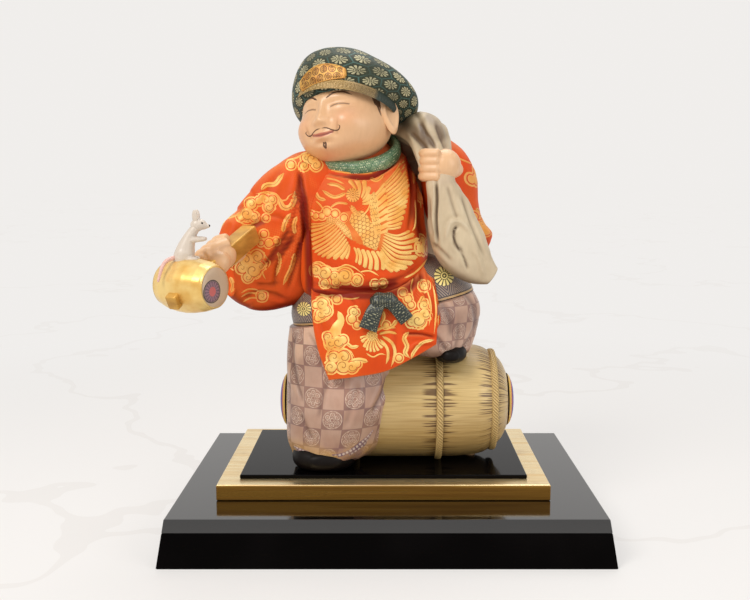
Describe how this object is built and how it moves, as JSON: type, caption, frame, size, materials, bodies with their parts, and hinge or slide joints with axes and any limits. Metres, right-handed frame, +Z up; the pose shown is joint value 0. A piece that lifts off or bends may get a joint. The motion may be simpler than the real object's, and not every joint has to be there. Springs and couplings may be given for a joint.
{
  "type": "wooden daikoku statue",
  "caption": "Painted wooden lucky-god figure with cap, sack, mallet and mouse, resting a leg on a straw bale, on a stepped lacquered stand; a household ornament.",
  "frame": {"origin": "middle of the stand's underside, on the flat lower face of the centre batten", "axes": "+Z up the figure, +X to the viewer's right, -Y the way the figure faces"},
  "size_m": [0.303, 0.2346, 0.3456],
  "materials": {
    "lacquer": "black lacquer over wood, gloss",
    "raw_wood": "plain planed wood, matt",
    "steel": "plain steel screw",
    "gold_leaf": "gold leaf over wood, satin",
    "straw_paint": "painted straw with brush strokes, satin",
    "rope_paint": "painted straw band, satin",
    "painted_end": "painted end disc, satin",
    "trousers": "painted brocade check, satin",
    "hip_band": "painted brocade, satin",
    "boot": "black paint, satin",
    "jacket": "red-orange painted brocade with gold motifs, satin",
    "sash": "painted green brocade, satin",
    "collar": "painted green brocade, satin",
    "skin": "painted skin colour, satin",
    "hat": "painted dark teal brocade, satin",
    "sack": "painted pale cloth, matt",
    "drumskin": "painted pale disc, satin",
    "mouse": "white paint, satin"
  },
  "bodies": {
    "stand": {"bale_peg_left": "raw_wood", "bale_peg_right": "raw_wood", "black_panel": "lacquer", "gold_step_board": "gold_leaf", "plinth_back_skirt": "lacquer", "plinth_centre_batten": "raw_wood", "plinth_front_skirt": "lacquer", "plinth_left_skirt": "lacquer", "plinth_right_skirt": "lacquer", "plinth_top_board": "lacquer", "stand_screw_left": "steel", "stand_screw_right": "steel"},
    "statue": {"bale_end_left": "painted_end", "bale_end_right": "painted_end", "bale_rope_1": "rope_paint", "bale_rope_2_back": "rope_paint", "bale_rope_2_front": "rope_paint", "bale_rope_3_back": "rope_paint", "bale_rope_3_front": "rope_paint", "bale_rope_4": "rope_paint", "bale_straw_body": "straw_paint", "hat_badge": "gold_leaf", "hat_band": "gold_leaf", "hat_crown": "hat", "head": "skin", "hip_band": "hip_band", "inner_collar": "collar", "jacket_body": "jacket", "jacket_skirt": "jacket", "left_boot": "boot", "left_hand": "skin", "left_sleeve": "jacket", "left_trouser_leg": "trousers", "right_boot": "boot", "right_hand": "skin", "right_sleeve": "jacket", "right_trouser_leg": "trousers", "sack_body": "sack", "sack_shoulder": "sack", "sack_tail": "sack", "sash_knot": "sash", "sash_tail_left": "sash", "sash_tail_right": "sash"},
    "mallet": {"mallet_barrel": "gold_leaf", "mallet_face_left": "drumskin", "mallet_face_right": "drumskin", "mallet_handle": "gold_leaf", "mouse_body": "mouse", "mouse_head": "mouse", "mouse_tail": "mouse"}
  },
  "joints": [
    {"name": "figure_lift", "type": "slide", "parent": "stand", "child": "statue", "axis": [0, 0, 1], "range_m": [0, 0.02]},
    {"name": "mallet_draw", "type": "slide", "parent": "statue", "child": "mallet", "axis": [-0.4513, -0.7817, -0.4305], "range_m": [0, 0.055]}
  ]
}
